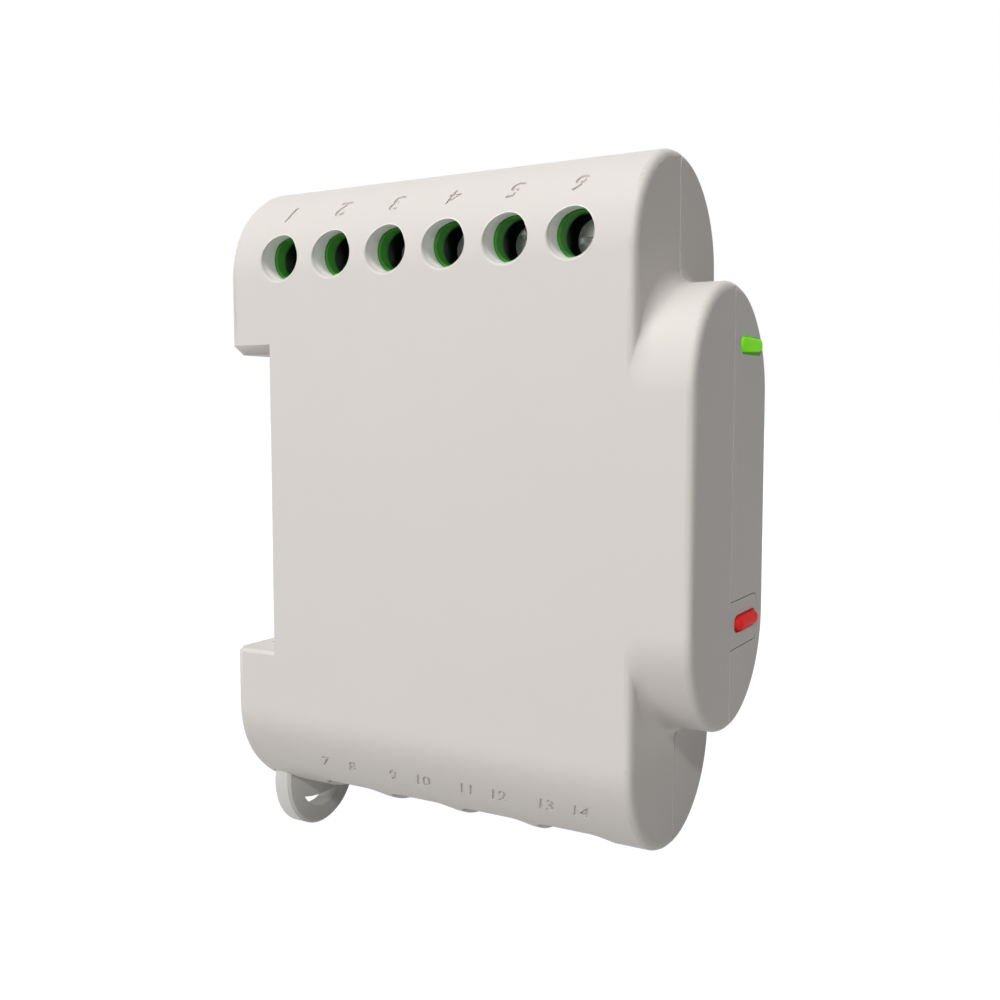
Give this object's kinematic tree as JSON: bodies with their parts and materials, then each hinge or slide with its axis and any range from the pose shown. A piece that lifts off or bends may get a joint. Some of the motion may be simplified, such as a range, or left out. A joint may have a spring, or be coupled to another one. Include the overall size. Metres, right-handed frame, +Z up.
{
  "type": "energy meter",
  "caption": "Slim rail-mounted energy meter: split housing with round ends, side screw terminals, bottom sensor sockets, front light and button, and a spring rail clip with a pull ring.",
  "frame": {"origin": "middle of the rail seat, the wall of the rear notch that rests on the front of the mounting rail", "axes": "+X along the rail, away from the screw holes; +Y to the rear, towards the rail; +Z up, towards the screw terminals"},
  "size_m": [0.0274, 0.0714, 0.0963],
  "materials": {
    "housing_plastic": "fine matte, warm light grey",
    "clip_plastic": "fine matte, light grey",
    "spring_steel": "bright wire",
    "light_green": "clear yellow-green, lit from behind",
    "button_red": "satin red",
    "plunger_plastic": "matte",
    "switch_metal": "satin",
    "led_white": "clear",
    "board_green": "satin green lacquer",
    "black_plastic": "matte black",
    "terminal_green": "matte green",
    "ferrite": "matte dark grey",
    "winding_tape": "yellow tape",
    "radio_blue": "satin blue lacquer",
    "shield_steel": "satin",
    "varistor_blue": "dipped coating",
    "resistor_green": "dipped coating",
    "capacitor_black": "glossy sleeve",
    "screw_nickel": "nickel plated",
    "cage_zinc": "zinc plated",
    "bar_tin": "tinned",
    "pin_gold": "gold plated"
  },
  "bodies": {
    "housing": {"left_shell": "housing_plastic", "right_shell": "housing_plastic", "clip_spring": "spring_steel", "light_guide": "light_green", "switch_body": "switch_metal", "status_led": "led_white", "front_board": "board_green", "link_header": "black_plastic", "main_board": "board_green", "terminal_block": "terminal_green", "transformer_core": "ferrite", "transformer_winding": "winding_tape", "metering_chip": "black_plastic", "radio_board": "radio_blue", "radio_shield": "shield_steel", "varistor": "varistor_blue", "fuse_resistor": "resistor_green", "capacitor_1": "capacitor_black", "capacitor_2": "capacitor_black", "contact_bar_1": "bar_tin", "contact_bar_2": "bar_tin", "contact_bar_3": "bar_tin", "contact_bar_4": "bar_tin", "contact_bar_5": "bar_tin", "contact_bar_6": "bar_tin", "sensor_socket_1": "black_plastic", "socket_pins_1": "pin_gold", "sensor_socket_2": "black_plastic", "socket_pins_2": "pin_gold", "sensor_socket_3": "black_plastic", "socket_pins_3": "pin_gold", "sensor_socket_4": "black_plastic", "socket_pins_4": "pin_gold"},
    "clip": {"rail_clip": "clip_plastic"},
    "button": {"reset_button": "button_red", "switch_plunger": "plunger_plastic"},
    "screw_1": {"terminal_screw_1": "screw_nickel"},
    "cage_1": {"wire_cage_1": "cage_zinc"},
    "screw_2": {"terminal_screw_2": "screw_nickel"},
    "cage_2": {"wire_cage_2": "cage_zinc"},
    "screw_3": {"terminal_screw_3": "screw_nickel"},
    "cage_3": {"wire_cage_3": "cage_zinc"},
    "screw_4": {"terminal_screw_4": "screw_nickel"},
    "cage_4": {"wire_cage_4": "cage_zinc"},
    "screw_5": {"terminal_screw_5": "screw_nickel"},
    "cage_5": {"wire_cage_5": "cage_zinc"},
    "screw_6": {"terminal_screw_6": "screw_nickel"},
    "cage_6": {"wire_cage_6": "cage_zinc"}
  },
  "joints": [
    {"name": "clip_slide", "type": "slide", "parent": "housing", "child": "clip", "axis": [0, 0, -1], "range_m": [0, 0.0035], "stiffness_N_per_m": 1000, "springref_m": -0.004, "deforming": ["clip_spring"]},
    {"name": "button_press", "type": "slide", "parent": "housing", "child": "button", "axis": [0, 1, 0], "range_m": [0, 0.0005], "stiffness_N_per_m": 300, "springref_m": -0.002},
    {"name": "cage_1_lift", "type": "slide", "parent": "housing", "child": "cage_1", "axis": [-1, 0, 0], "range_m": [0, 0.0025]},
    {"name": "screw_1_turn", "type": "hinge", "parent": "housing", "child": "screw_1", "pos_m": [-0.0046, -0.0016, 0.0334], "axis": [1, 0, 0], "range_deg": [0, 1800]},
    {"name": "cage_2_lift", "type": "slide", "parent": "housing", "child": "cage_2", "axis": [-1, 0, 0], "range_m": [0, 0.0025]},
    {"name": "screw_2_turn", "type": "hinge", "parent": "housing", "child": "screw_2", "pos_m": [-0.0046, -0.0106, 0.0334], "axis": [1, 0, 0], "range_deg": [0, 1800]},
    {"name": "cage_3_lift", "type": "slide", "parent": "housing", "child": "cage_3", "axis": [-1, 0, 0], "range_m": [0, 0.0025]},
    {"name": "screw_3_turn", "type": "hinge", "parent": "housing", "child": "screw_3", "pos_m": [-0.0046, -0.0196, 0.0334], "axis": [1, 0, 0], "range_deg": [0, 1800]},
    {"name": "cage_4_lift", "type": "slide", "parent": "housing", "child": "cage_4", "axis": [-1, 0, 0], "range_m": [0, 0.0025]},
    {"name": "screw_4_turn", "type": "hinge", "parent": "housing", "child": "screw_4", "pos_m": [-0.0046, -0.0286, 0.0334], "axis": [1, 0, 0], "range_deg": [0, 1800]},
    {"name": "cage_5_lift", "type": "slide", "parent": "housing", "child": "cage_5", "axis": [-1, 0, 0], "range_m": [0, 0.0025]},
    {"name": "screw_5_turn", "type": "hinge", "parent": "housing", "child": "screw_5", "pos_m": [-0.0046, -0.0376, 0.0334], "axis": [1, 0, 0], "range_deg": [0, 1800]},
    {"name": "cage_6_lift", "type": "slide", "parent": "housing", "child": "cage_6", "axis": [-1, 0, 0], "range_m": [0, 0.0025]},
    {"name": "screw_6_turn", "type": "hinge", "parent": "housing", "child": "screw_6", "pos_m": [-0.0046, -0.0466, 0.0334], "axis": [1, 0, 0], "range_deg": [0, 1800]}
  ],
  "couplings": [
    {"joint": "screw_1_turn", "follows": "cage_1_lift", "rad_per_m": 12566},
    {"joint": "screw_2_turn", "follows": "cage_2_lift", "rad_per_m": 12566},
    {"joint": "screw_3_turn", "follows": "cage_3_lift", "rad_per_m": 12566},
    {"joint": "screw_4_turn", "follows": "cage_4_lift", "rad_per_m": 12566},
    {"joint": "screw_5_turn", "follows": "cage_5_lift", "rad_per_m": 12566},
    {"joint": "screw_6_turn", "follows": "cage_6_lift", "rad_per_m": 12566}
  ]
}
